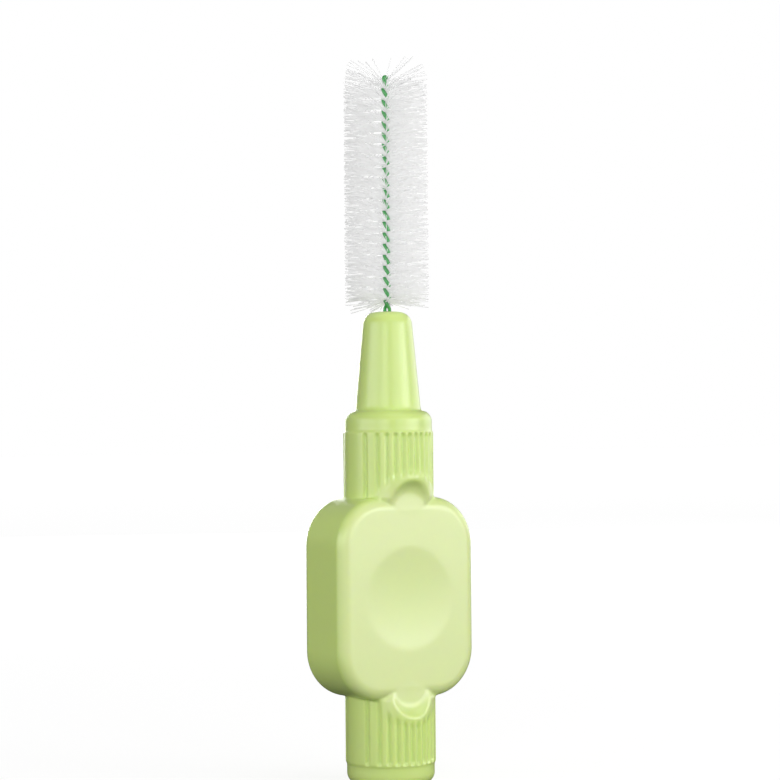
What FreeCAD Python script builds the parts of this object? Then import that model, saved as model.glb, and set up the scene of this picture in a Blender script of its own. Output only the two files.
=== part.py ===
import FreeCAD, Part
import math
import os
import Sketcher
from FreeCAD import Vector

# Interdental brush, in millimetres. +Z runs along the brush from the handle's lower end
# to the wire's tip, X is the width of the finger pad, and the pad's front faces -Y.
# The origin is the centre of the handle's flat lower end.

SIZES = {
    # Finger pad: a flat block with rounded corners and edges
    "pad_width": 8.85,
    "pad_height": 11.0,
    "pad_thickness": 4.1,
    "pad_corner_radius": 2.6,
    "pad_edge_radius": 0.65,
    "dish_radius": 2.8,
    "dish_depth": 0.18,
    # Round collars below and above the pad, each with a smooth band at its free end
    "collar_radius": 2.5,
    "collar_height": 4.8,
    "band_step": 0.07,
    "band_draft": 0.01,
    "band_height": 1.15,
    "collar_end_radius": 0.6,
    "collar_root_depth": 1.6,
    "collar_root_drop": 0.7,
    # Grip ribs, left between V grooves on the front and back of each collar
    "groove_pitch": 0.41,
    "groove_width": 0.29,
    "groove_depth": 0.11,
    # Thumb scoops where the pad's face runs into a collar
    "scoop_radius": 1.7,
    "scoop_reach": 0.85,
    "scoop_cove_radius": 0.5,
    "scoop_lip": 0.4,
    # Tapered nose that holds the wire
    "nose_base_radius": 1.83,
    "nose_top_radius": 1.32,
    "nose_height": 5.5,
    "nose_tip_radius": 0.68,
    # Coated steel wire, folded in two and twisted
    "strand_radius": 0.1,
    "twist_pitch": 1.235,
    "twist_lead": 0.3,
    "twist_runout": 0.17,
    "wire_root": 3.7,
    "socket_clearance": 0.01,
    # Nylon filaments, clamped between the two legs of the wire
    "filament_thickness": 0.05,
    "filament_clearance": 0.005,
    "bristle_radius": 2.35,
    "bristle_start": 0.5,
    # How far a cutting shape runs past the surface that it cuts
    "cut_overrun": 1.0,
}

GROOVES_PER_QUARTER = 6
FLATS_PER_ROUNDED_END = 3
STRAND_SIDES = 5
TUFTS = 20
FILAMENTS_PER_TUFT = 10
# The tufts at each end fan out, the last filament the most, by these angles in degrees
TIP_FAN = {"tufts": 3, "lean": 24}
ROOT_FAN = {"tufts": 2, "lean": 9}

# Places along the handle, measured up from the pad's centre
HALF_WIDTH = "(sizes.pad_width / 2)"
HALF_HEIGHT = "(sizes.pad_height / 2)"
FACE = "(sizes.pad_thickness / 2)"
COLLAR_END = "(sizes.pad_height / 2 + sizes.collar_height)"
BAND_START = "(sizes.pad_height / 2 + sizes.collar_height - sizes.band_height)"
NOSE_TIP = "(sizes.pad_height / 2 + sizes.collar_height + sizes.nose_height)"
SCOOP_CENTRE = "(sizes.pad_height / 2 + sizes.scoop_reach - sizes.scoop_radius)"


def make_sheet(doc):
    sheet = doc.addObject("Spreadsheet::Sheet", "sizes")
    for row, (name, value) in enumerate(SIZES.items(), start=1):
        sheet.set("A%d" % row, name)
        sheet.set("B%d" % row, str(value))
        sheet.setAlias("B%d" % row, name)
    doc.recompute()
    return sheet


def minus(expression):
    return "-(" + expression + ")"


def origin_plane(body, role):
    return next(item for item in body.Origin.OriginFeatures if item.Role == role)


def attach(body, item, role, offsets):
    """Lay an item on an origin plane, moved along the plane's own axes by expressions."""
    item.AttachmentSupport = [(origin_plane(body, role), "")]
    item.MapMode = "FlatFace"
    for axis, expression in offsets.items():
        item.setExpression("AttachmentOffset.Base." + axis, expression)
    return item


def new_sketch(body, name, role, **offsets):
    return attach(body, body.newObject("Sketcher::SketchObject", name), role, offsets)


def measure(item, expression):
    return float(item.evalExpression(expression))


def point_at(sketch, corner):
    return Vector(measure(sketch, corner[0]), measure(sketch, corner[1]), 0)


def hold(sketch, kind, edge, end, expression):
    """Tie one coordinate of an edge's end, or of an arc's centre, to an expression."""
    value = measure(sketch, expression)
    number = sketch.addConstraint(Sketcher.Constraint(kind, -1, 1, edge, end, value))
    sketch.setExpression("Constraints[%d]" % number, expression)


def draw(sketch, corners, arc_centres=None):
    """Closed outline through corners given as pairs of expressions. An edge whose number
    is in arc_centres is an arc, which runs anticlockwise round the centre given there."""
    centres = arc_centres or {}
    for index, corner in enumerate(corners):
        start = point_at(sketch, corner)
        end = point_at(sketch, corners[(index + 1) % len(corners)])
        edge = Part.LineSegment(start, end)
        if index in centres:
            middle = point_at(sketch, centres[index])
            circle = Part.Circle(middle, Vector(0, 0, 1), (start - middle).Length)
            turns = [math.atan2(spoke.y, spoke.x) for spoke in (start - middle, end - middle)]
            edge = Part.ArcOfCircle(circle, *turns)
        sketch.addGeometry(edge, False)
    for index, (across, up) in enumerate(corners):
        following = (index + 1) % len(corners)
        sketch.addConstraint(Sketcher.Constraint("Coincident", index, 2, following, 1))
        hold(sketch, "DistanceX", index, 1, across)
        hold(sketch, "DistanceY", index, 1, up)
    for index, centre in centres.items():
        hold(sketch, "DistanceX", index, 3, centre[0])


def feature(body, kind, name, sketch, **expressions):
    made = body.newObject("PartDesign::" + kind, name)
    made.Profile = sketch
    for prop, expression in expressions.items():
        made.setExpression(prop, expression)
    return made


def turned(body, kind, name, sketch, axis):
    made = feature(body, kind, name, sketch)
    made.ReferenceAxis = (sketch, [axis])
    made.Angle = 360
    return made


def round_edges(body, name, base, radius, through):
    """Fillet the edges that run through the base from front to back, or all the others."""
    body.Document.recompute()
    chosen = []
    for number, edge in enumerate(base.Shape.Edges, start=1):
        if (abs(edge.tangentAt(edge.FirstParameter).y) > math.sqrt(0.5)) == through:
            chosen.append("Edge%d" % number)
    made = body.newObject("PartDesign::Fillet", name)
    made.Base = (base, chosen)
    made.setExpression("Radius", radius)
    return made


def mirror(body, name, originals, roles):
    """Copies of some features on the far side of each plane, and of each pair of planes."""
    made = body.newObject("PartDesign::MultiTransform", name)
    made.Originals = originals
    steps = []
    for role in roles:
        step = body.newObject("PartDesign::Mirrored", name + "_across_" + role[:2].lower())
        step.MirrorPlane = (origin_plane(body, role), [""])
        steps.append(step)
    made.Transformations = steps
    body.Tip = made


def add_pad(body):
    outline = new_sketch(body, "pad_outline", "XZ_Plane")
    left, bottom = minus(HALF_WIDTH), minus(HALF_HEIGHT)
    draw(outline, [(left, bottom), (HALF_WIDTH, bottom), (HALF_WIDTH, HALF_HEIGHT), (left, HALF_HEIGHT)])
    block = feature(body, "Pad", "pad", outline, Length="sizes.pad_thickness")
    block.Midplane = True
    corners = round_edges(body, "pad_corners", block, "sizes.pad_corner_radius", True)
    round_edges(body, "pad_edges", corners, "sizes.pad_edge_radius", False)


def rounded_end(across, up, radius):
    """Corners that round a turned end, from its side to its face. Flats follow a quarter
    circle."""
    corners = []
    for step in range(FLATS_PER_ROUNDED_END + 1):
        turn = 90 * step / FLATS_PER_ROUNDED_END
        inward = " - %s * (1 - cos(%.1f deg))" % (radius, turn)
        downward = " - %s * (1 - sin(%.1f deg))" % (radius, turn)
        corners.append((across + inward, up + downward))
    return corners


def add_collars(body):
    """Both collars and the nose, turned about the handle's axis. The collars' roots taper
    inside the pad, so that they fade into its front and back faces, and the bands narrow a
    little towards their ends, as a mould needs."""
    band = "sizes.collar_radius - sizes.band_step"
    shoulder = "min(sizes.collar_end_radius; " + band + " - sizes.nose_base_radius)"
    upper = [("sizes.collar_radius - sizes.collar_root_drop", HALF_HEIGHT + " - sizes.collar_root_depth"),
             ("sizes.collar_radius", HALF_HEIGHT),
             ("sizes.collar_radius", BAND_START),
             (band + " + sizes.band_draft", BAND_START)]
    upper += rounded_end(band, COLLAR_END, shoulder)
    lower = [(across, minus(up)) for across, up in reversed(upper)]
    nose = [("sizes.nose_base_radius", COLLAR_END)]
    nose += rounded_end("sizes.nose_top_radius", NOSE_TIP, "sizes.nose_tip_radius")
    axis = [("0", NOSE_TIP), ("0", minus(COLLAR_END))]
    section = new_sketch(body, "collar_section", "XZ_Plane")
    draw(section, lower + upper + nose + axis)
    turned(body, "Revolution", "collars", section, "V_Axis")


def add_scoops(body):
    """A round recess, level with the pad's face and coved at its rim, in each collar's root."""
    cove = "sizes.scoop_cove_radius"
    depth = "(sizes.collar_radius - " + FACE + ")"
    flat = "(sizes.scoop_radius - sqrt(" + cove + "^2 - (" + cove + " - " + depth + ")^2))"
    clear = "sizes.collar_radius + sizes.cut_overrun"
    section = new_sketch(body, "scoop_section", "YZ_Plane", y=SCOOP_CENTRE)
    corners = [(minus(FACE), "0"), (minus(clear), "0"), (minus(clear), "-sizes.scoop_radius"),
               ("-sizes.collar_radius", "-sizes.scoop_radius"), (minus(FACE), minus(flat))]
    draw(section, corners, {3: (minus(FACE + " + " + cove), minus(flat))})
    scoop = turned(body, "Groove", "scoop", section, "H_Axis")
    mirror(body, "scoops", [scoop], ["XZ_Plane", "XY_Plane"])


def add_dishes(body):
    """A shallow round dish in the middle of the pad, front and back, cut by a large ball."""
    dish = body.newObject("PartDesign::SubtractiveSphere", "dish")
    ball = "((sizes.dish_radius^2 + sizes.dish_depth^2) / (2 * sizes.dish_depth))"
    attach(body, dish, "XY_Plane", {"y": minus(FACE + " - sizes.dish_depth + " + ball)})
    dish.setExpression("Radius", ball)
    mirror(body, "dishes", [dish], ["XZ_Plane"])


def groove_corners(across):
    """The V's floor on the collar's axis side, and its two corners outside the collar."""
    sine = "(" + across + " / sizes.collar_radius)"
    cosine = "sqrt(1 - " + sine + "^2)"
    floor = "(sizes.collar_radius - sizes.groove_depth)"
    outside = "(sizes.collar_radius + sizes.cut_overrun)"
    flare = "(1 + sizes.cut_overrun / sizes.groove_depth)"
    spread = "(sizes.groove_width / 2 * " + flare + ")"
    corners = [(floor + " * " + sine, "-" + floor + " * " + cosine)]
    for side in (" - ", " + "):
        corners.append((outside + " * " + sine + side + spread + " * " + cosine,
                        "-" + outside + " * " + cosine + side + spread + " * " + sine))
    return corners


def add_grooves(body):
    """Upright grooves, evenly spaced across the front as a mould cuts them. They start at
    the smooth band, and stop a lip's width short of the scoop, or at the pad."""
    originals = []
    rim = "(sizes.scoop_radius + sizes.scoop_lip)"
    for index in range(GROOVES_PER_QUARTER):
        name = "groove_%d" % (index + 1)
        across = "(%.1f * sizes.groove_pitch)" % (index + 0.5)
        section = new_sketch(body, name + "_section", "XY_Plane", z=BAND_START)
        draw(section, groove_corners(across))
        lip = SCOOP_CENTRE + " + sqrt(max(" + rim + "^2 - " + across + "^2; 0))"
        length = BAND_START + " - max(" + lip + "; " + HALF_HEIGHT + ")"
        originals.append(feature(body, "Pocket", name, section, Length=length))
    mirror(body, "grooves", originals, ["YZ_Plane", "XZ_Plane", "XY_Plane"])


def add_socket(body):
    """Blind round socket in the nose, a small clearance wider than the twisted wire."""
    section = new_sketch(body, "socket_section", "XY_Plane", z=NOSE_TIP)
    radius = "2 * sizes.strand_radius + sizes.filament_thickness / 2"
    radius += " + sizes.filament_clearance + sizes.socket_clearance"
    section.addGeometry(Part.Circle(Vector(0, 0, 0), Vector(0, 0, 1), measure(section, radius)), False)
    section.addConstraint(Sketcher.Constraint("Coincident", 0, 3, -1, 1))
    number = section.addConstraint(Sketcher.Constraint("Radius", 0, measure(section, radius)))
    section.setExpression("Constraints[%d]" % number, radius)
    feature(body, "Pocket", "socket", section, Length="sizes.wire_root")


def make_handle(doc):
    """The moulded handle, drawn about the pad's centre and stood on its lower collar."""
    body = doc.addObject("PartDesign::Body", "handle")
    body.setExpression("Placement.Base.z", COLLAR_END)
    for add in (add_pad, add_collars, add_scoops, add_dishes, add_grooves, add_socket):
        add(body)
        doc.recompute()
    return body


def orbit_radius(sheet):
    """How far each leg's centre line lies from the brush's axis."""
    return sheet.strand_radius + sheet.filament_thickness / 2 + sheet.filament_clearance


def nose_tip_height(sheet):
    return 2 * sheet.collar_height + sheet.pad_height + sheet.nose_height


def filament_height(sheet, number):
    spacing = sheet.twist_pitch / 2 / FILAMENTS_PER_TUFT
    return nose_tip_height(sheet) + sheet.bristle_start + number * spacing


def twist_angle(sheet, height):
    """Left-handed twist, whose legs lie along X at the nose's tip."""
    return -2 * math.pi * (height - nose_tip_height(sheet)) / sheet.twist_pitch


def ray(angle):
    return Vector(math.cos(angle), math.sin(angle), 0)


def helix_node(sheet, height):
    """Point and direction of the first leg's centre line where it is fully twisted."""
    angle = twist_angle(sheet, height)
    slope = 2 * math.pi * orbit_radius(sheet) / sheet.twist_pitch
    along = Vector(0, 0, 1) - ray(angle + math.pi / 2) * slope
    return ray(angle) * orbit_radius(sheet) + Vector(0, 0, height), along.normalize()


def straight_node(sheet, height, turning_point):
    """Point and direction of the first leg's centre line where the twist has died out."""
    angle = twist_angle(sheet, (height + turning_point) / 2)
    return ray(angle) * orbit_radius(sheet) + Vector(0, 0, height), Vector(0, 0, 1)


def leg_nodes(sheet):
    """Nodes up the first leg: straight in the socket, then twisted, a little under a
    quarter of a turn apart, then straight again below the fold at the tip."""
    first = nose_tip_height(sheet) - sheet.twist_lead
    last = filament_height(sheet, TUFTS * FILAMENTS_PER_TUFT)
    count = math.ceil((last - first) / (sheet.twist_pitch / 4))
    nodes = [straight_node(sheet, first - sheet.twist_runout, first)]
    nodes += [helix_node(sheet, first + (last - first) * step / count) for step in range(count + 1)]
    nodes.append(straight_node(sheet, last + sheet.twist_runout, last))
    return nodes


def arc_between(start, corner, end):
    """Arc from start to end, tangent to the two equal sides that meet at the corner."""
    middle = (start + end) / 2
    rise = math.atan2((corner - middle).Length, (end - start).Length / 2)
    crown = middle + (corner - middle) * (math.tan(rise / 2) / math.tan(rise))
    return Part.Arc(start, crown, end).toShape()


def biarc(start, leaving, end, arriving):
    """Two arcs that join two nodes and share their tangent where they meet."""
    span = end - start
    square = 2 * (leaving.dot(arriving) - 1)
    linear = -2 * span.dot(leaving + arriving)
    side = (-linear - math.sqrt(linear ** 2 - 4 * square * span.dot(span))) / (2 * square)
    first, second = start + leaving * side, end - arriving * side
    middle = (first + second) / 2
    return [arc_between(start, first, middle), arc_between(middle, second, end)]


def opposite(point):
    return Vector(-point.x, -point.y, point.z)


def wire_path(sheet):
    """Centre line of the whole wire: up one leg, over the fold and down the other leg."""
    nodes = leg_nodes(sheet)
    arcs = []
    for (start, leaving), (end, arriving) in zip(nodes, nodes[1:]):
        arcs += biarc(start, leaving, end, arriving)
    top = nodes[-1][0]
    fold = Part.Arc(top, Vector(0, 0, top.z + orbit_radius(sheet)), opposite(top)).toShape()
    foot = Vector(nodes[0][0])
    foot.z = nose_tip_height(sheet) - sheet.wire_root + sheet.socket_clearance
    up = [Part.makeLine(foot, nodes[0][0])] + arcs
    down = [edge.rotated(Vector(0, 0, 0), Vector(0, 0, 1), 180) for edge in up]
    return Part.Wire(Part.__sortEdges__(up + [fold] + down)), foot


def strand_profile(sheet, centre):
    turns = [2 * math.pi * step / STRAND_SIDES for step in range(STRAND_SIDES)]
    rim = [centre + ray(turn) * sheet.strand_radius for turn in turns]
    return Part.makePolygon(rim + rim[:1])


def least_gap(path, sheet):
    """Least space between the two legs, measured on points down the first leg."""
    points = path.discretize(Distance=sheet.twist_pitch / STRAND_SIDES ** 2)
    up = points[:len(points) // 2]
    legs = [point for point in up if point.z < up[-1].z - orbit_radius(sheet) - sheet.strand_radius]
    spans = [min((point - opposite(other)).Length for other in legs) for point in legs]
    return min(spans) - 2 * sheet.strand_radius


def make_wire(doc, sheet):
    """One wire, folded at the tip, whose two legs are twisted round each other."""
    path, foot = wire_path(sheet)
    wire = doc.addObject("Part::Feature", "twisted_wire")
    wire.Shape = path.makePipeShell([strand_profile(sheet, foot)], True, False)
    print("least gap between the wire's legs: %.3f mm" % least_gap(path, sheet))
    return wire


def lean_angle(number):
    """How far a filament's two halves rise from level, in radians."""
    after = TUFTS * FILAMENTS_PER_TUFT - 1 - number
    tip = max(0, 1 - after / (TIP_FAN["tufts"] * FILAMENTS_PER_TUFT))
    root = max(0, 1 - number / (ROOT_FAN["tufts"] * FILAMENTS_PER_TUFT))
    return math.radians(TIP_FAN["lean"] * tip ** 2 - ROOT_FAN["lean"] * root ** 2)


def make_filament(sheet, number):
    """One filament, held at its middle between the legs, with both ends free."""
    height = filament_height(sheet, number)
    along = ray(twist_angle(sheet, height) + math.pi / 2)
    side = ray(twist_angle(sheet, height) + math.pi)
    lean = lean_angle(number)
    reach, rise = sheet.bristle_radius * math.cos(lean), sheet.bristle_radius * math.sin(lean)
    half = sheet.filament_thickness / 2
    stations = [(-reach, rise), (0, 0), (reach, rise)] if lean else [(-reach, 0), (reach, 0)]
    outline = [(x, z - half) for x, z in stations] + [(x, z + half) for x, z in reversed(stations)]
    points = [along * x - side * half + Vector(0, 0, height + z) for x, z in outline]
    return Part.Face(Part.makePolygon(points + points[:1])).extrude(side * sheet.filament_thickness)


def make_tuft(doc, sheet, index):
    """The filaments that half a turn of the wire holds."""
    first = index * FILAMENTS_PER_TUFT
    tuft = doc.addObject("Part::Feature", "bristle_tuft_%02d" % (index + 1))
    tuft.Shape = Part.makeCompound([make_filament(sheet, first + step) for step in range(FILAMENTS_PER_TUFT)])
    return tuft


def check(doc, nodes):
    for item in doc.Objects:
        if "Invalid" in item.State or "Error" in item.State:
            raise RuntimeError(item.Name + " failed to recompute")
    for node in nodes:
        if node.Shape.isNull() or not node.Shape.isValid():
            raise RuntimeError(node.Label + " has no valid shape")


def main():
    doc = FreeCAD.newDocument("interdental_brush")
    sheet = make_sheet(doc)
    nodes = [make_handle(doc), make_wire(doc, sheet)]
    nodes += [make_tuft(doc, sheet, index) for index in range(TUFTS)]
    doc.recompute()
    check(doc, nodes)
    os.makedirs("parts", exist_ok=True)
    for node in nodes:
        node.Shape.exportStep("parts/" + node.Label + ".step")
        print(node.Label, len(node.Shape.Solids), "solids, volume %.4f" % node.Shape.Volume)


main()
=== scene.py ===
import math
import bpy
import numpy as np
from mathutils import Matrix, Vector


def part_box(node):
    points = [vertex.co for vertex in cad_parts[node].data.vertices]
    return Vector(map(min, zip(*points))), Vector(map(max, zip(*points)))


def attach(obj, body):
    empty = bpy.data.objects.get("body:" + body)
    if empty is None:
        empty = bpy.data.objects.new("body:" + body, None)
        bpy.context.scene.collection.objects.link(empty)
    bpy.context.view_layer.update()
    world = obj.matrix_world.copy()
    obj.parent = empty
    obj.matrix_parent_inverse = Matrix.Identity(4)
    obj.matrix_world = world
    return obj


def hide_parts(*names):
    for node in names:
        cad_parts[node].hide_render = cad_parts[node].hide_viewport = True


# Interdental brush: a pale yellow-green moulded handle, a green coated wire folded and twisted,
# and white nylon filaments. Lengths in the dictionaries are millimetres, angles are degrees.
mm = 0.001

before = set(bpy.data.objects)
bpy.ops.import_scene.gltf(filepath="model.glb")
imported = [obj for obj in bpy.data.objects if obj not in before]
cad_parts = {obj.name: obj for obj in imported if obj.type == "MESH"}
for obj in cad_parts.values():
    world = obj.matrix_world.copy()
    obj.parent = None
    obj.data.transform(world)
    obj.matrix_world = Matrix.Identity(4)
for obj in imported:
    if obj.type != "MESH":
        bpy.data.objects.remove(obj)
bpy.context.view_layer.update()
handleHigh = np.array(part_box("handle")[1]) / mm
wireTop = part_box("twisted_wire")[1].z / mm
noseTip = handleHigh[2]
print("frame loaded, nose tip at %.2f mm, wire tip at %.2f mm" % (noseTip, wireTop))


def addPiece(name, points, faces, material, nodes):
    mesh = bpy.data.meshes.new(name)
    mesh.from_pydata((points * mm).tolist(), [], faces)
    mesh.update()
    mesh.polygons.foreach_set("use_smooth", np.ones(len(mesh.polygons), bool))
    piece = bpy.data.objects.new(name, mesh)
    bpy.context.scene.collection.objects.link(piece)
    mesh.materials.append(material)
    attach(piece, "root")
    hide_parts(*nodes)


# Quads of a grid of rings: ring i, spoke j joins ring i + 1 and spoke j + 1, closed round the spokes
def ringFaces(rings, spokes):
    i, j = np.meshgrid(np.arange(rings - 1), np.arange(spokes), indexing="ij")
    k = (j + 1) % spokes
    quads = np.stack([i * spokes + j, i * spokes + k, (i + 1) * spokes + k, (i + 1) * spokes + j], -1)
    return quads.reshape(-1, 4)


def smoothStep(low, high, value):
    share = np.clip((value - low) / (high - low), 0, 1)
    return share * share * (3 - 2 * share)


# Distance to a corner rounded by a radius, from the distances to its two sides
def roundedCorner(first, second, radius):
    first, second = first + radius, second + radius
    inside = np.minimum(np.maximum(first, second), 0)
    return np.hypot(np.maximum(first, 0), np.maximum(second, 0)) + inside - radius


# The nearer of two distances, with a fillet that reaches so far on each side of their meeting
def softUnion(first, second, reach):
    blend = np.maximum(reach - np.abs(first - second), 0) / reach
    return np.minimum(first, second) - blend * blend * reach / 4


def softCut(body, cutter, reach):
    return -softUnion(-body, cutter, reach)


# Handle
pad = {
    "halfWidth": handleHigh[0], "halfHeight": 5.5, "halfThickness": 2.05, "centre": 10.3,
    "corner": 2.6, "edge": 0.65, "dishRadius": 2.8, "dishDepth": 0.13, "dishRim": 0.015,
}
collar = {
    "radius": handleHigh[1], "height": 4.8, "bandStep": 0.07, "bandHeight": 1.15, "endRound": 0.6,
    "stepSoftness": 0.1, "rootTaper": 0.44, "sideFillet": 0.03, "faceFillet": 0.4, "sideEnd": 0.5,
    "faceStart": 0.8,
}
ribs = {"pitch": 0.41, "grooves": 6, "grooveWidth": 0.41, "grooveDepth": 0.13, "runOut": 0.22,
        "scoopRunOut": 0.35}
scoop = {"radius": 1.84, "reach": 0.99, "cove": 0.8, "rim": 0.14, "lip": 0.25, "floorFillet": 0.03}
nose = {"baseRadius": 1.83, "topRadius": 1.32, "height": 5.5, "tipRound": 0.68, "rootFillet": 0.1,
        "rootDepth": 1.0}
handleMesh = {
    "spokes": 430, "marchStart": 9.0, "marchShare": 0.7, "marchSteps": 160, "tolerance": 2e-5,
    "facingPasses": 24, "tableSize": 20001, "faceDensity": 2.1, "edgeDensity": 2.6, "edgeSpread": 0.13,
}


# A block whose outline has round corners, with rounded edges front and back
def padField(x, y, z):
    across = np.abs(x) - pad["halfWidth"]
    up = np.abs(z - pad["centre"]) - pad["halfHeight"]
    outline = roundedCorner(across, up, pad["corner"])
    return roundedCorner(outline, np.abs(y) - pad["halfThickness"], pad["edge"])


# Depth of the V between two ribs. The grooves are evenly spaced across the front and back, and run
# out at the smooth band and round the scoop
def grooveDepth(x, y, rise, toScoop):
    turn = np.arctan2(np.abs(x), np.abs(y))
    nearest = np.clip(np.round(collar["radius"] * np.sin(turn) / ribs["pitch"] - 0.5), 0, ribs["grooves"] - 1)
    sine = (nearest + 0.5) * ribs["pitch"] / collar["radius"]
    aside = np.abs(turn - np.arcsin(sine)) * collar["radius"]
    shape = 1 - smoothStep(0, ribs["grooveWidth"] / 2, aside)
    bandStart = collar["height"] - collar["bandHeight"]
    ends = 1 - smoothStep(bandStart - ribs["runOut"], bandStart, rise)
    lip = scoop["radius"] + scoop["lip"]
    ends = ends * smoothStep(lip - ribs["runOut"] / 2, lip + ribs["scoopRunOut"], toScoop)
    return ribs["grooveDepth"] * shape * ends


# A round bar with a smaller smooth band and a rounded end, grooved, tapering inside the pad, and
# with a coved recess cut down to the level of the pad's face. Its fillet to the pad is wide at the
# front and back, and small at the sides and in the recess
def collarField(x, y, z):
    rise = np.abs(z - pad["centre"]) - pad["halfHeight"]
    toScoop = np.hypot(x, rise - scoop["reach"] + scoop["radius"])
    bandStart = collar["height"] - collar["bandHeight"]
    step = smoothStep(bandStart - collar["stepSoftness"], bandStart + collar["stepSoftness"], rise)
    radius = collar["radius"] - collar["bandStep"] * step + collar["rootTaper"] * np.minimum(rise, 0)
    radius = radius - grooveDepth(x, y, rise, toScoop)
    bar = roundedCorner(np.hypot(x, y) - radius, rise - collar["height"], collar["endRound"])
    recess = roundedCorner(toScoop - scoop["radius"], pad["halfThickness"] - np.abs(y), scoop["cove"])
    fillet = collar["sideFillet"] + (collar["faceFillet"] - collar["sideFillet"]) * smoothStep(
        collar["sideEnd"], collar["faceStart"], np.abs(y) / np.maximum(np.hypot(x, y), scoop["floorFillet"]))
    fillet = scoop["floorFillet"] + (fillet - scoop["floorFillet"]) * smoothStep(
        scoop["radius"] - scoop["rim"], scoop["radius"] + scoop["lip"], toScoop)
    return softCut(bar, recess, scoop["rim"]), fillet


# A cone with a rounded tip, standing on the upper collar
def noseField(x, y, z):
    share = np.clip((z - noseTip + nose["height"]) / nose["height"], 0, 1)
    radius = nose["baseRadius"] + (nose["topRadius"] - nose["baseRadius"]) * share
    cone = roundedCorner(np.hypot(x, y) - radius, z - noseTip, nose["tipRound"])
    return np.maximum(cone, noseTip - nose["height"] - nose["rootDepth"] - z)


def handleField(x, y, z):
    bar, fillet = collarField(x, y, z)
    body = softUnion(padField(x, y, z), bar, fillet)
    ball = (pad["dishRadius"] ** 2 + pad["dishDepth"] ** 2) / (2 * pad["dishDepth"])
    middle = pad["halfThickness"] - pad["dishDepth"] + ball
    dish = np.sqrt(x ** 2 + (np.abs(y) - middle) ** 2 + (z - pad["centre"]) ** 2) - ball
    body = softCut(body, dish, pad["dishRim"])
    return softUnion(body, noseField(x, y, z), nose["rootFillet"])


# Straight run of rows on the guide: radius, height and the way that the surface faces, in degrees
def guideLine(start, end, rows):
    share = np.arange(rows)[:, None] / rows
    facing = math.degrees(math.atan2(start[0] - end[0], end[1] - start[1]))
    return np.hstack([np.array(start) + (np.array(end) - start) * share, np.full((rows, 1), facing)])


# Round run of rows on the guide, about a centre, between two facings
def guideArc(centre, radius, first, last, rows):
    facing = first + (last - first) * np.arange(rows) / rows
    turn = np.radians(facing)
    return np.stack([centre[0] + radius * np.cos(turn), centre[1] + radius * np.sin(turn), facing], -1)


# The handle's side outline, from the middle of its lower end to the middle of the nose's tip
def handleGuide():
    radius, end, top = collar["radius"], collar["endRound"], pad["centre"] + pad["halfHeight"]
    band = radius - collar["bandStep"]
    inner = pad["halfWidth"] - pad["corner"]
    meeting = math.degrees(math.acos((radius - inner) / pad["corner"]))
    shoulder = top + collar["height"]
    arcTop = top - pad["corner"]
    meetingHeight = arcTop + pad["corner"] * math.sin(math.radians(meeting))
    mirrored = 2 * pad["centre"]
    lowerStep, upperStep = collar["bandHeight"], shoulder - collar["bandHeight"]
    soft = collar["stepSoftness"]
    flatTip = nose["topRadius"] - nose["tipRound"]
    runs = [
        guideLine((0, 0), (band - end, 0), 6),
        guideArc((band - end, end), end, -90, 0, 9),
        guideLine((band, end), (band, lowerStep - soft), 2),
        guideLine((band, lowerStep - soft), (radius, lowerStep + soft), 4),
        guideLine((radius, lowerStep + soft), (radius, lowerStep + 4 * soft), 3),
        guideLine((radius, lowerStep + 4 * soft), (radius, mirrored - meetingHeight), 38),
        guideArc((inner, mirrored - arcTop), pad["corner"], -meeting, 0, 28),
        guideLine((pad["halfWidth"], mirrored - arcTop), (pad["halfWidth"], arcTop), 30),
        guideArc((inner, arcTop), pad["corner"], 0, meeting, 28),
        guideLine((radius, meetingHeight), (radius, upperStep - 4 * soft), 38),
        guideLine((radius, upperStep - 4 * soft), (radius, upperStep - soft), 3),
        guideLine((radius, upperStep - soft), (band, upperStep + soft), 4),
        guideLine((band, upperStep + soft), (band, shoulder - end), 2),
        guideArc((band - end, shoulder - end), end, 0, 90, 10),
        guideLine((band - end, shoulder), (nose["baseRadius"], shoulder + end), 3),
        guideLine((nose["baseRadius"], shoulder + end), (nose["topRadius"], noseTip - nose["tipRound"]), 8),
        guideArc((flatTip, noseTip - nose["tipRound"]), nose["tipRound"], 0, 90, 9),
        guideLine((flatTip, noseTip), (0, noseTip), 4),
    ]
    return np.vstack(runs)


# Angles of the spokes. Their density is 1 + faceDensity * |sin(turn)|, so that they are close on the
# ribs, + edgeDensity * exp(-(angle to the pad's edge / edgeSpread) ** 2)
def spokeAngles(count):
    turn = np.linspace(0, 2 * math.pi, handleMesh["tableSize"])
    edge = math.atan2(pad["halfThickness"], pad["halfWidth"])
    toEdge = np.abs(np.arcsin(np.abs(np.sin(turn))) - edge)
    nearEdge = np.exp(-(toEdge / handleMesh["edgeSpread"]) ** 2)
    density = 1.0 + handleMesh["faceDensity"] * np.abs(np.sin(turn)) + handleMesh["edgeDensity"] * nearEdge
    total = np.concatenate([[0], np.cumsum((density[1:] + density[:-1]) / 2)])
    return np.interp(np.arange(count) / count * total[-1], total, turn)


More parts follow.
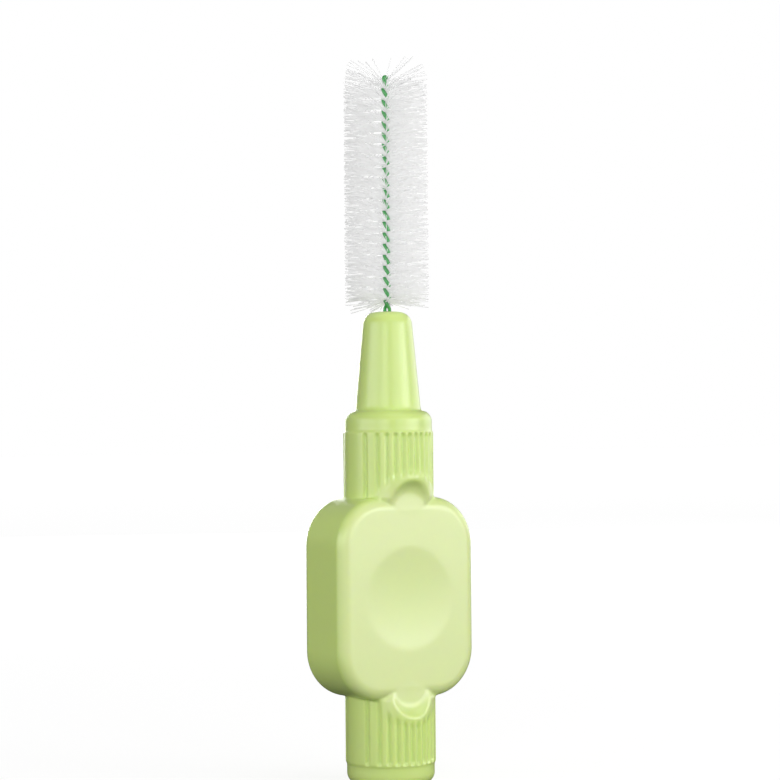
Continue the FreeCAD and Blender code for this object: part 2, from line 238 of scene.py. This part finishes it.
# Each ring of the handle is where rays from a point on the axis meet its surface. The rays lean
# half as much as the guide's surface faces up or down, and march in from outside by the distance
def handleSurface():
    guide = handleGuide()
    facing = guide[:, 2].copy()
    for _ in range(handleMesh["facingPasses"]):
        facing[1:-1] = (facing[:-2] + 2 * facing[1:-1] + facing[2:]) / 4
    lean = np.radians(facing) / 2
    origin = guide[:, 1] - guide[:, 0] * np.tan(lean)
    spokes = spokeAngles(handleMesh["spokes"])
    flat, rise = np.cos(lean)[:, None], np.sin(lean)[:, None] + 0 * spokes
    along = np.stack([flat * np.cos(spokes), flat * np.sin(spokes), rise], -1).reshape(-1, 3)
    start = np.zeros_like(along)
    start[:, 2] = np.repeat(origin, len(spokes))
    reach = np.full(len(along), handleMesh["marchStart"])
    moving = np.arange(len(along))
    for _ in range(handleMesh["marchSteps"]):
        point = start[moving] + along[moving] * reach[moving, None]
        distance = handleField(point[:, 0], point[:, 1], point[:, 2])
        reach[moving] -= distance * handleMesh["marchShare"]
        moving = moving[np.abs(distance) > handleMesh["tolerance"]]
    print("handle: %d of %d points still moving" % (len(moving), len(along)))
    points = (start + along * np.maximum(reach, 0)[:, None])[len(spokes):]
    quads = ringFaces(len(guide) - 1, len(spokes))
    ends = np.arange(len(spokes))
    after = (ends + 1) % len(spokes)
    last, pole = len(points) - len(spokes), len(points)
    lowFan = np.stack([0 * ends + pole, after, ends], -1)
    highFan = np.stack([ends + last, after + last, 0 * ends + pole + 1], -1)
    points = np.vstack([points, [[0, 0, 0], [0, 0, noseTip]]])
    return points, quads.tolist() + lowFan.tolist() + highFan.tolist()


# Shader values as Python expressions
class Tone:
    def __init__(self, tree, socket):
        self.tree = tree
        self.socket = socket

    def math(self, operation, second=0.0, first=None):
        node = self.tree.nodes.new("ShaderNodeMath")
        node.operation = operation
        for slot, value in zip(node.inputs, (self if first is None else first, second)):
            if isinstance(value, Tone):
                self.tree.links.new(value.socket, slot)
            else:
                slot.default_value = value
        return Tone(self.tree, node.outputs[0])

    def __add__(self, other):
        return self.math("ADD", other)

    def __radd__(self, other):
        return self.math("ADD", self, other)

    def __sub__(self, other):
        return self.math("SUBTRACT", other)

    def __rsub__(self, other):
        return self.math("SUBTRACT", self, other)

    def __mul__(self, other):
        return self.math("MULTIPLY", other)

    def __rmul__(self, other):
        return self.math("MULTIPLY", self, other)

    def __truediv__(self, other):
        return self.math("DIVIDE", other)

    def __rtruediv__(self, other):
        return self.math("DIVIDE", self, other)


# One material's nodes. Settings come first, then the values or links of the sockets, by name with
# _ for a space, or by number as input0
class Finish:
    def __init__(self, name, owner=None):
        self.owner = owner or bpy.data.materials.new(name)
        self.owner.use_nodes = True
        self.tree = self.owner.node_tree
        self.tree.nodes.clear()

    def node(self, kind, settings=None, output=0, **sockets):
        made = self.tree.nodes.new("ShaderNode" + kind)
        for name, value in (settings or {}).items():
            setattr(made, name, value)
        for name, value in sockets.items():
            numbered = name.startswith("input")
            slot = made.inputs[int(name[len("input"):]) if numbered else name.replace("_", " ")]
            if isinstance(value, Tone):
                self.tree.links.new(value.socket, slot)
            else:
                slot.default_value = value
        return Tone(self.tree, made.outputs[output])

    def noise(self, place, scale, detail=2.0):
        return self.node("TexNoise", Vector=place, Scale=scale, Detail=detail)

    def mix(self, share, first, second):
        return self.node("Mix", {"data_type": "RGBA"}, output=2, input0=share, input6=first, input7=second)

    def surface(self, shader, kind="Material"):
        end = self.tree.nodes.new("ShaderNodeOutput" + kind)
        self.tree.links.new(shader.socket, end.inputs["Surface"])
        return self.owner


def linear(red, green, blue):
    def channel(value):
        value = value / 255
        return value / 12.92 if value <= 0.04045 else ((value + 0.055) / 1.055) ** 2.4
    return (channel(red), channel(green), channel(blue), 1.0)


plasticLook = {
    "colour": (222, 246, 144), "paintedSheenColour": (233, 249, 172), "paleStart": 1.55, "paleFade": 0.5,
    "padReach": 6.6, "padFade": 1.2, "flowLow": 0.94, "flowSpread": 0.12, "flowScale": 260.0,
    "roughness": 0.36, "roughSpread": 0.06, "roughScale": 900.0, "grainScale": 9000.0, "grainDetail": 3.0,
    "bump": 0.06, "bumpDistance": 0.02, "coat": 0.85, "coatRoughness": 0.3, "coatIor": 1.5,
    "scatter": 0.3, "scatterRadius": (1.0, 1.2, 0.25), "scatterScale": 0.4,
}


# The colour is a little paler on the pad's faces, a painted sheen that stands for the soft boxes' light on
# them. Where it fades out, towards the collars and into the recesses above and below the pad, the deeper
# colour stays as painted shade. Its share is (|y| - paleStart) / paleFade, times (padReach - |z - pad's
# centre|) / padFade, times flowLow + flowSpread * noise
def plasticFinish():
    look = plasticLook
    finish = Finish("mouldedPlastic")
    place = finish.node("TexCoord", output=3)
    depth = finish.node("SeparateXYZ", output=1, Vector=place).math("ABSOLUTE")
    toFace = (depth - look["paleStart"] * mm) / (look["paleFade"] * mm)
    rise = (finish.node("SeparateXYZ", output=2, Vector=place) - pad["centre"] * mm).math("ABSOLUTE")
    inPad = (look["padReach"] * mm - rise) / (look["padFade"] * mm)
    pale = toFace.math("MINIMUM", 1.0) * inPad.math("MINIMUM", 1.0).math("MAXIMUM", 0.0)
    flow = look["flowLow"] + look["flowSpread"] * finish.noise(place, look["flowScale"])
    grain = finish.noise(place, look["grainScale"], look["grainDetail"])
    # painted sheen: the pale colour mixed in on the pad's faces, and painted shade where it fades at the
    # recesses
    colour = finish.mix(pale * flow, linear(*look["colour"]), linear(*look["paintedSheenColour"]))
    bump = finish.node("Bump", Strength=look["bump"], Distance=look["bumpDistance"] * mm, Height=grain)
    roughness = look["roughness"] + look["roughSpread"] * finish.noise(place, look["roughScale"])
    return finish.surface(finish.node(
        "BsdfPrincipled", Base_Color=colour, Roughness=roughness, Coat_Weight=look["coat"],
        Coat_Roughness=look["coatRoughness"], Coat_IOR=look["coatIor"], Subsurface_Weight=look["scatter"],
        Subsurface_Radius=look["scatterRadius"], Subsurface_Scale=look["scatterScale"] * mm, Normal=bump))


wireLook = {
    "dark": (52, 152, 70), "light": (76, 176, 92), "tintScale": 3000.0, "roughness": 0.3,
    "roughSpread": 0.1, "roughScale": 9000.0, "coat": 1.0, "coatRoughness": 0.15,
}


def coatedWireFinish():
    look = wireLook
    finish = Finish("greenCoating")
    place = finish.node("TexCoord", output=3)
    colour = finish.mix(finish.noise(place, look["tintScale"]), linear(*look["dark"]), linear(*look["light"]))
    roughness = look["roughness"] + look["roughSpread"] * finish.noise(place, look["roughScale"])
    return finish.surface(finish.node(
        "BsdfPrincipled", Base_Color=colour, Roughness=roughness, Coat_Weight=look["coat"],
        Coat_Roughness=look["coatRoughness"]))


nylonLook = {
    "dark": (0.97, 0.97, 0.97, 1), "light": (0.99, 0.99, 0.99, 1), "tintScale": 1500.0, "roughness": 0.3,
    "roughSpread": 0.1, "roughScale": 5000.0, "alpha": 0.5, "glow": 0.13,
}


# The weak glow stands for the light that many clear filaments scatter between them
def nylonFinish():
    look = nylonLook
    finish = Finish("whiteNylon")
    place = finish.node("TexCoord", output=3)
    colour = finish.mix(finish.noise(place, look["tintScale"]), look["dark"], look["light"])
    roughness = look["roughness"] + look["roughSpread"] * finish.noise(place, look["roughScale"])
    return finish.surface(finish.node(
        "BsdfPrincipled", Base_Color=colour, Roughness=roughness, Alpha=look["alpha"],
        Emission_Color=(1, 1, 1, 1), Emission_Strength=look["glow"]))


plastic, coating, nylon = plasticFinish(), coatedWireFinish(), nylonFinish()
handlePoints, handleFaces = handleSurface()
addPiece("handleMoulding", handlePoints, handleFaces, plastic, ["handle"])
print("handle: %d faces" % len(handleFaces))

# Twisted wire
wire = {
    "strandRadius": 0.1, "orbit": 0.13, "pitch": 1.235, "rootDepth": 1.5, "sides": 14, "perTurn": 28,
    "settle": 0.17, "lead": 0.3, "foldPoints": 16,
}


# Left-handed twist, which dies out in the socket and below the fold
def twistAngle(height):
    return -2 * math.pi * (height - noseTip) / wire["pitch"]


# A tube round the path of the folded wire: up one leg, over a half circle and down the other
def wireSurface():
    top = wireTop - wire["orbit"] - wire["strandRadius"]
    last = top - wire["settle"]
    low = noseTip - wire["rootDepth"]
    count = int((top - low) / wire["pitch"] * wire["perTurn"])
    height = np.linspace(low, top, count)
    ending = last + np.clip(height - last, 0, None) / 2
    turn = twistAngle(np.where(height > last, ending, np.maximum(height, noseTip - wire["lead"])))
    fold = np.linspace(0, math.pi, wire["foldPoints"])[1:-1]
    outward = np.stack([np.cos(turn), np.sin(turn), 0 * turn], -1)
    aside = np.stack([-np.sin(turn), np.cos(turn), 0 * turn], -1)
    up = outward * wire["orbit"] + height[:, None] * [0, 0, 1]
    down = (up * [-1, -1, 1])[::-1]
    over = outward[-1] * wire["orbit"] * np.cos(fold)[:, None]
    over = over + (top + wire["orbit"] * np.sin(fold))[:, None] * [0, 0, 1]
    path = np.vstack([up, over, down])
    side = np.vstack([aside, np.repeat(aside[-1:], len(over), 0), aside[::-1]])
    along = np.gradient(path, axis=0)
    along /= np.linalg.norm(along, axis=1, keepdims=True)
    side = side - along * (side * along).sum(1, keepdims=True)
    side /= np.linalg.norm(side, axis=1, keepdims=True)
    other = np.cross(along, side)
    round_ = np.arange(wire["sides"]) * 2 * math.pi / wire["sides"]
    ring = side[:, None] * np.cos(round_)[None, :, None] + other[:, None] * np.sin(round_)[None, :, None]
    points = (path[:, None] + ring * wire["strandRadius"]).reshape(-1, 3)
    faces = ringFaces(len(path), wire["sides"]).tolist()
    faces.append(list(range(wire["sides"]))[::-1])
    faces.append(list(range(len(points) - wire["sides"], len(points))))
    return points, faces


wirePoints, wireFaces = wireSurface()
addPiece("coatedWire", wirePoints, wireFaces, coating, ["twisted_wire"])
print("wire: %d faces" % len(wireFaces))

# Bristles
bristles = {
    "tufts": 20, "perTuft": 76, "start": 0.5, "radius": 2.37, "thickness": 0.055, "sides": 4, "stations": 7,
    "turnReach": 34.0, "leanReach": 10.0, "jitter": 1.0, "bendSpread": 1.0, "lengthSpread": 0.015, "seed": 7,
    "tipTufts": 3, "tipLean": 10.0, "lastLean": 50.0, "lastPower": 50, "tipRise": 0.9, "leastRise": 0.01,
    "rootTufts": 2, "rootLean": 4.0, "turnStep": 0.7549, "leanStep": 0.5698,
}


# Each filament crosses the wire between its legs, square to them. Both halves run straight out, bend
# a little, and end on one cylinder. At each end of the brush they lean outwards by
# tipLean * tip ** 2 + lastLean * tip ** lastPower - rootLean * root ** 2, trimmed at one height.
# Turn and lean spread by reach * (2 * (order * step % 1) - 1), and a little at random
def tuftSurface(index, spread):
    count = bristles["perTuft"]
    number = index * count + np.arange(count)
    total = bristles["tufts"] * count
    height = noseTip + bristles["start"] + (number + 0.5) * wire["pitch"] / 2 / count
    tip = np.clip(1 - (total - 1 - number) / (bristles["tipTufts"] * count), 0, 1)
    root = np.clip(1 - number / (bristles["rootTufts"] * count), 0, 1)
    lean = bristles["tipLean"] * tip ** 2 + bristles["lastLean"] * tip ** bristles["lastPower"]
    lean = lean - bristles["rootLean"] * root ** 2
    share = np.linspace(-1, 1, bristles["stations"])
    half = (share > 0).astype(int)
    order = number[:, None] + [0, 0.5]
    aside = bristles["turnReach"] * (2 * (order * bristles["turnStep"] % 1) - 1)
    aside = aside + spread.normal(0, bristles["jitter"], (count, 2))
    upward = bristles["leanReach"] * (2 * (order * bristles["leanStep"] % 1) - 1)
    upward = upward + spread.normal(0, bristles["jitter"], (count, 2))
    turn = twistAngle(height)[:, None] + math.pi / 2 + np.radians(aside)
    tilt = np.radians(lean[:, None] + upward)
    bend = np.radians(spread.normal(0, bristles["bendSpread"], (count, 2)))
    size = bristles["radius"] * (1 - np.abs(spread.normal(0, bristles["lengthSpread"], (count, 2))))
    room = wireTop + bristles["tipRise"] - height[:, None]
    size = np.minimum(size, room / np.maximum(np.sin(tilt + bend), bristles["leastRise"]))
    out = np.abs(share) * size[:, half]
    angle = tilt[:, half] + bend[:, half] * np.abs(share)
    reach = np.sign(share) * out * np.cos(angle)
    rise = out * np.sin(angle)
    turn = turn[:, half]
    place = np.stack([np.cos(turn) * reach, np.sin(turn) * reach, height[:, None] + rise], -1)
    along = np.gradient(place, axis=1)
    along /= np.linalg.norm(along, axis=2, keepdims=True)
    side = np.cross(along, [0, 0, 1.0])
    side /= np.linalg.norm(side, axis=2, keepdims=True)
    other = np.cross(along, side)
    round_ = (np.arange(bristles["sides"]) + 0.5) * 2 * math.pi / bristles["sides"]
    ring = side[:, :, None] * np.cos(round_)[:, None] + other[:, :, None] * np.sin(round_)[:, None]
    points = place[:, :, None] + ring * bristles["thickness"] / 2
    each = bristles["stations"] * bristles["sides"]
    one = ringFaces(bristles["stations"], bristles["sides"])
    caps = np.array([np.arange(bristles["sides"])[::-1], np.arange(each - bristles["sides"], each)])
    one = np.vstack([one, caps])
    faces = (one[None] + (np.arange(count) * each)[:, None, None]).reshape(-1, one.shape[1])
    return points.reshape(-1, 3), faces.tolist()


spread = np.random.default_rng(bristles["seed"])
for index in range(bristles["tufts"]):
    points, faces = tuftSurface(index, spread)
    number = "%02d" % (index + 1)
    addPiece("bristleTuft" + number, points, faces, nylon, ["bristle_tuft_" + number])
print("bristles: %d filaments" % (bristles["tufts"] * bristles["perTuft"]))

# Floor, background and lights
studio = {"floorHalf": 2000.0, "dim": 0.15, "floorShare": 0.75, "floorGlow": 1.32, "paper": 0.8,
          "darkPaper": 0.08, "nearShare": 0.12, "nearReach": 250.0}


# White to the camera, and dimmer as a source of light: its strength is dim + (1 - dim) * camera ray
def studioWorld():
    world = bpy.data.worlds.new("studio")
    bpy.context.scene.world = world
    finish = Finish("studio", world)
    path = finish.node("LightPath")
    isCamera = Tone(finish.tree, path.socket.node.outputs["Is Camera Ray"])
    strength = studio["dim"] + (1.0 - studio["dim"]) * isCamera
    finish.surface(finish.node("Background", Color=(1, 1, 1, 1), Strength=strength), "World")


# The floor glows for the camera, and less near the object, where the lamps reach it and its shadow
# falls: the glow's share is floorShare - nearShare / (1 + (distance / nearReach) ** 2)
def studioFloor():
    finish = Finish("paleFloor")
    path = finish.node("LightPath")
    isCamera = Tone(finish.tree, path.socket.node.outputs["Is Camera Ray"])
    shade = studio["darkPaper"] + (studio["paper"] - studio["darkPaper"]) * isCamera
    paper = finish.node("BsdfDiffuse", Color=shade)
    glow = finish.node("Emission", Color=(1, 1, 1, 1), Strength=studio["floorGlow"])
    place = finish.node("TexCoord", output=3)
    away = finish.node("VectorMath", {"operation": "LENGTH"}, 1, Vector=place) / (studio["nearReach"] * mm)
    share = studio["floorShare"] - studio["nearShare"] / (1.0 + away * away)
    material = finish.surface(finish.node("MixShader", input0=isCamera * share, input1=paper, input2=glow))
    half = studio["floorHalf"] * mm
    mesh = bpy.data.meshes.new("floor")
    corners = [(-half, -half, 0), (half, -half, 0), (half, half, 0), (-half, half, 0)]
    mesh.from_pydata(corners, [], [(0, 1, 2, 3)])
    mesh.materials.append(material)
    floor = bpy.data.objects.new("floor", mesh)
    bpy.context.scene.collection.objects.link(floor)


# Azimuth, elevation, width, height and radiance of each soft box
boxDistance = 320.0
softBoxes = {
    "sideBox": (-92, 5, 300, 200, 2.8), "leftBox": (-45, 4, 150, 240, 3.2), "frontBox": (0, 4, 150, 240, 2.4),
    "mainBox": (35, 4, 200, 240, 4.7), "topBox": (15, 60, 240, 240, 0.8), "rightBox": (98, 8, 300, 220, 1.5),
    "backBox": (158, 7, 160, 130, 5.6),
}


# A soft box that faces the middle of the pad. Azimuth 0 is in front of the pad, and 90 is on its
# right, seen from there
def softBox(name, azimuth, elevation, width, height, radiance):
    lamp = bpy.data.lights.new(name, "AREA")
    lamp.shape = "RECTANGLE"
    lamp.size, lamp.size_y = width * mm, height * mm
    lamp.energy = radiance * math.pi * lamp.size * lamp.size_y
    holder = bpy.data.objects.new(name, lamp)
    bpy.context.scene.collection.objects.link(holder)
    turn, lift = math.radians(azimuth), math.radians(elevation)
    out = Vector((math.sin(turn) * math.cos(lift), -math.cos(turn) * math.cos(lift), math.sin(lift)))
    holder.location = Vector((0, 0, pad["centre"] * mm)) + out * boxDistance * mm
    holder.rotation_euler = out.to_track_quat("Z", "Y").to_euler()


studioWorld()
studioFloor()
for name, values in softBoxes.items():
    softBox(name, *values)
print("studio: %d soft boxes" % len(softBoxes))

# Camera at the photograph's angle: level with the nose, looking a little upwards
photo = {"sensor": 36.0, "lens": 105.35, "distance": 127.0, "azimuth": -33.5, "height": 19.25, "aside": 0.124,
         "pitch": 1.13, "roll": -0.48, "clipStart": 10.0, "clipEnd": 10000.0}
camera = bpy.data.cameras.new("photoCamera")
camera.sensor_width, camera.lens = photo["sensor"], photo["lens"]
camera.clip_start, camera.clip_end = photo["clipStart"] * mm, photo["clipEnd"] * mm
eye = bpy.data.objects.new("photoCamera", camera)
bpy.context.scene.collection.objects.link(eye)
bpy.context.scene.camera = eye
turn, pitch = math.radians(photo["azimuth"]), math.radians(photo["pitch"])
outward = Vector((math.sin(turn), -math.cos(turn), 0))
right = Vector((math.cos(turn), math.sin(turn), 0))
eye.location = (outward * photo["distance"] + right * photo["aside"] + Vector((0, 0, photo["height"]))) * mm
forward = -outward * math.cos(pitch) + Vector((0, 0, math.sin(pitch)))
upright = forward.to_track_quat("-Z", "Y").to_matrix()
eye.rotation_euler = (upright @ Matrix.Rotation(math.radians(photo["roll"]), 3, "Z")).to_euler()
bpy.context.scene.view_settings.view_transform = "Standard"
